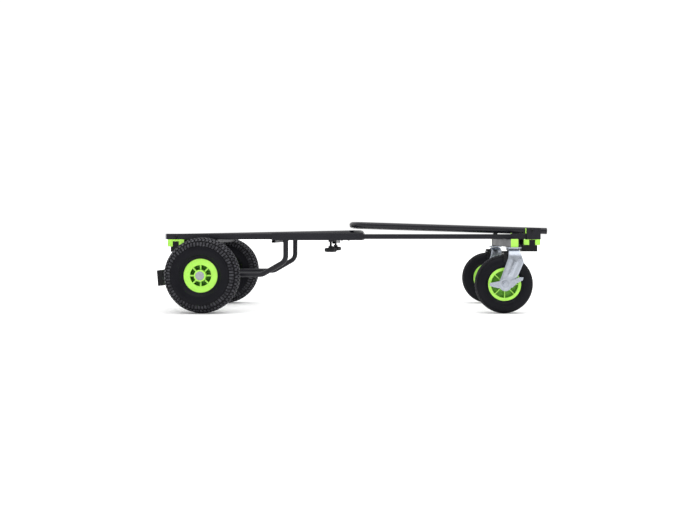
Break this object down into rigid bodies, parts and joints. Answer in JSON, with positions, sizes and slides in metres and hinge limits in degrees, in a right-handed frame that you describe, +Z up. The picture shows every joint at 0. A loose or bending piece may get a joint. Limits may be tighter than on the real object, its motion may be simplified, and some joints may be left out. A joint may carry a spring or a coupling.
{
  "type": "extendable transport cart",
  "caption": "Folding platform cart with telescoping steel rails, flat-folding tube handles, large air-tyre wheels on a fixed axle and braked swivel casters with green rims.",
  "frame": {"origin": "on the ground, in the middle of the cart's length and width", "axes": "+X along the rails towards the casters, +Y to the left side, +Z up"},
  "size_m": [1.3629, 0.494, 0.3151],
  "materials": {
    "frame_paint": "satin",
    "handle_paint": "satin",
    "black_plastic": "matte",
    "grey_plastic": "matte",
    "green_plastic": "satin",
    "tyre_rubber": "matte",
    "zinc": "satin",
    "black_steel": "satin",
    "bearing_steel": "polished"
  },
  "bodies": {
    "rear_frame": {"rear_rail_left": "frame_paint", "rear_rail_right": "frame_paint", "sleeve_left": "frame_paint", "sleeve_right": "frame_paint", "sleeve_rivets": "black_steel", "rear_cross_bars": "frame_paint", "rail_end_plugs": "grey_plastic", "foot_bar": "frame_paint", "foot_bar_caps": "black_plastic", "axle_brace_left": "frame_paint", "axle_brace_right": "frame_paint", "rear_axle": "zinc", "axle_nuts": "zinc", "rear_wheel_bearings": "bearing_steel", "rear_pivot_bolts": "black_steel", "rear_rest_pads": "black_plastic", "rear_lock_saddles": "green_plastic"},
    "front_frame": {"front_rail_left": "frame_paint", "front_rail_right": "frame_paint", "front_cross_bar": "frame_paint", "caster_cross_tube": "frame_paint", "caster_tube_caps": "green_plastic", "caster_plates": "zinc", "caster_plate_bolts": "zinc", "caster_kingpins": "zinc", "handle_brackets": "frame_paint", "bracket_liners": "green_plastic", "front_pivot_bolts": "black_steel", "front_rest_pad": "black_plastic", "front_lock_saddles": "green_plastic"},
    "rear_handle": {"rear_handle": "handle_paint", "rear_handle_plugs": "black_plastic"},
    "front_handle": {"front_handle": "handle_paint", "front_handle_plugs": "black_plastic"},
    "rear_wheel_left": {"rear_tyre_left": "tyre_rubber", "rear_rim_left": "green_plastic", "hub_cap_left": "grey_plastic"},
    "caster_left": {"caster_fork_left": "zinc", "caster_axle_left": "zinc", "caster_bearings_left": "bearing_steel"},
    "caster_wheel_left": {"caster_tyre_left": "tyre_rubber", "caster_rim_left": "green_plastic"},
    "brake_lever_left": {"brake_lever_left": "zinc"},
    "brake_shoe_left": {"brake_shoe_left": "black_steel"},
    "frame_knob_left": {"frame_knob_left": "black_plastic"},
    "rear_latch_left": {"rear_latch_left": "black_plastic"},
    "front_latch_left": {"front_latch_left": "black_plastic"},
    "rear_wheel_right": {"rear_tyre_right": "tyre_rubber", "rear_rim_right": "green_plastic", "hub_cap_right": "grey_plastic"},
    "caster_right": {"caster_fork_right": "zinc", "caster_axle_right": "zinc", "caster_bearings_right": "bearing_steel"},
    "caster_wheel_right": {"caster_tyre_right": "tyre_rubber", "caster_rim_right": "green_plastic"},
    "brake_lever_right": {"brake_lever_right": "zinc"},
    "brake_shoe_right": {"brake_shoe_right": "black_steel"},
    "frame_knob_right": {"frame_knob_right": "black_plastic"},
    "rear_latch_right": {"rear_latch_right": "black_plastic"},
    "front_latch_right": {"front_latch_right": "black_plastic"}
  },
  "joints": [
    {"name": "frame_extend", "type": "slide", "parent": "rear_frame", "child": "front_frame", "axis": [1, 0, 0], "range_m": [-0.45, 0]},
    {"name": "front_handle_fold", "type": "hinge", "parent": "front_frame", "child": "front_handle", "pos_m": [0.6275, 0, 0.284], "axis": [0, 1, 0], "range_deg": [0, 88]},
    {"name": "rear_handle_fold", "type": "hinge", "parent": "rear_frame", "child": "rear_handle", "pos_m": [-0.616, 0, 0.262], "axis": [0, -1, 0], "range_deg": [0, 88]},
    {"name": "rear_wheel_roll_left", "type": "hinge", "parent": "rear_frame", "child": "rear_wheel_left", "pos_m": [-0.513, 0.205, 0.13], "axis": [0, 1, 0], "continuous": true},
    {"name": "caster_swivel_left", "type": "hinge", "parent": "front_frame", "child": "caster_left", "pos_m": [0.556, 0.205, 0.22], "axis": [0, 0, 1], "continuous": true},
    {"name": "caster_wheel_roll_left", "type": "hinge", "parent": "caster_left", "child": "caster_wheel_left", "pos_m": [0.5225, 0.205, 0.1], "axis": [0, 1, 0], "continuous": true},
    {"name": "brake_lever_turn_left", "type": "hinge", "parent": "caster_left", "child": "brake_lever_left", "pos_m": [0.5225, 0.205, 0.1], "axis": [0, 1, 0], "range_deg": [0, 25]},
    {"name": "brake_shoe_press_left", "type": "hinge", "parent": "caster_left", "child": "brake_shoe_left", "pos_m": [0.538, 0.205, 0.209], "axis": [0, -1, 0], "range_deg": [0, 8]},
    {"name": "frame_knob_turn_left", "type": "hinge", "parent": "rear_frame", "child": "frame_knob_left", "pos_m": [-0.0755, 0.15, 0.217], "axis": [0, 0, 1], "range_deg": [0, 360]},
    {"name": "rear_latch_pull_left", "type": "slide", "parent": "rear_frame", "child": "rear_latch_left", "axis": [0, 0, -1], "range_m": [0, 0.008], "stiffness_N_per_m": 1500, "springref_m": -0.004},
    {"name": "front_latch_pull_left", "type": "slide", "parent": "front_frame", "child": "front_latch_left", "axis": [0, 0, -1], "range_m": [0, 0.008], "stiffness_N_per_m": 1500, "springref_m": -0.004},
    {"name": "rear_wheel_roll_right", "type": "hinge", "parent": "rear_frame", "child": "rear_wheel_right", "pos_m": [-0.513, -0.205, 0.13], "axis": [0, 1, 0], "continuous": true},
    {"name": "caster_swivel_right", "type": "hinge", "parent": "front_frame", "child": "caster_right", "pos_m": [0.556, -0.205, 0.22], "axis": [0, 0, 1], "continuous": true},
    {"name": "caster_wheel_roll_right", "type": "hinge", "parent": "caster_right", "child": "caster_wheel_right", "pos_m": [0.5225, -0.205, 0.1], "axis": [0, 1, 0], "continuous": true},
    {"name": "brake_lever_turn_right", "type": "hinge", "parent": "caster_right", "child": "brake_lever_right", "pos_m": [0.5225, -0.205, 0.1], "axis": [0, 1, 0], "range_deg": [0, 25]},
    {"name": "brake_shoe_press_right", "type": "hinge", "parent": "caster_right", "child": "brake_shoe_right", "pos_m": [0.538, -0.205, 0.209], "axis": [0, -1, 0], "range_deg": [0, 8]},
    {"name": "frame_knob_turn_right", "type": "hinge", "parent": "rear_frame", "child": "frame_knob_right", "pos_m": [-0.0755, -0.15, 0.217], "axis": [0, 0, 1], "range_deg": [0, 360]},
    {"name": "rear_latch_pull_right", "type": "slide", "parent": "rear_frame", "child": "rear_latch_right", "axis": [0, 0, -1], "range_m": [0, 0.008], "stiffness_N_per_m": 1500, "springref_m": -0.004},
    {"name": "front_latch_pull_right", "type": "slide", "parent": "front_frame", "child": "front_latch_right", "axis": [0, 0, -1], "range_m": [0, 0.008], "stiffness_N_per_m": 1500, "springref_m": -0.004}
  ],
  "couplings": [
    {"joint": "brake_shoe_press_left", "follows": "brake_lever_turn_left", "ratio": 0.32},
    {"joint": "brake_shoe_press_right", "follows": "brake_lever_turn_right", "ratio": 0.32}
  ]
}
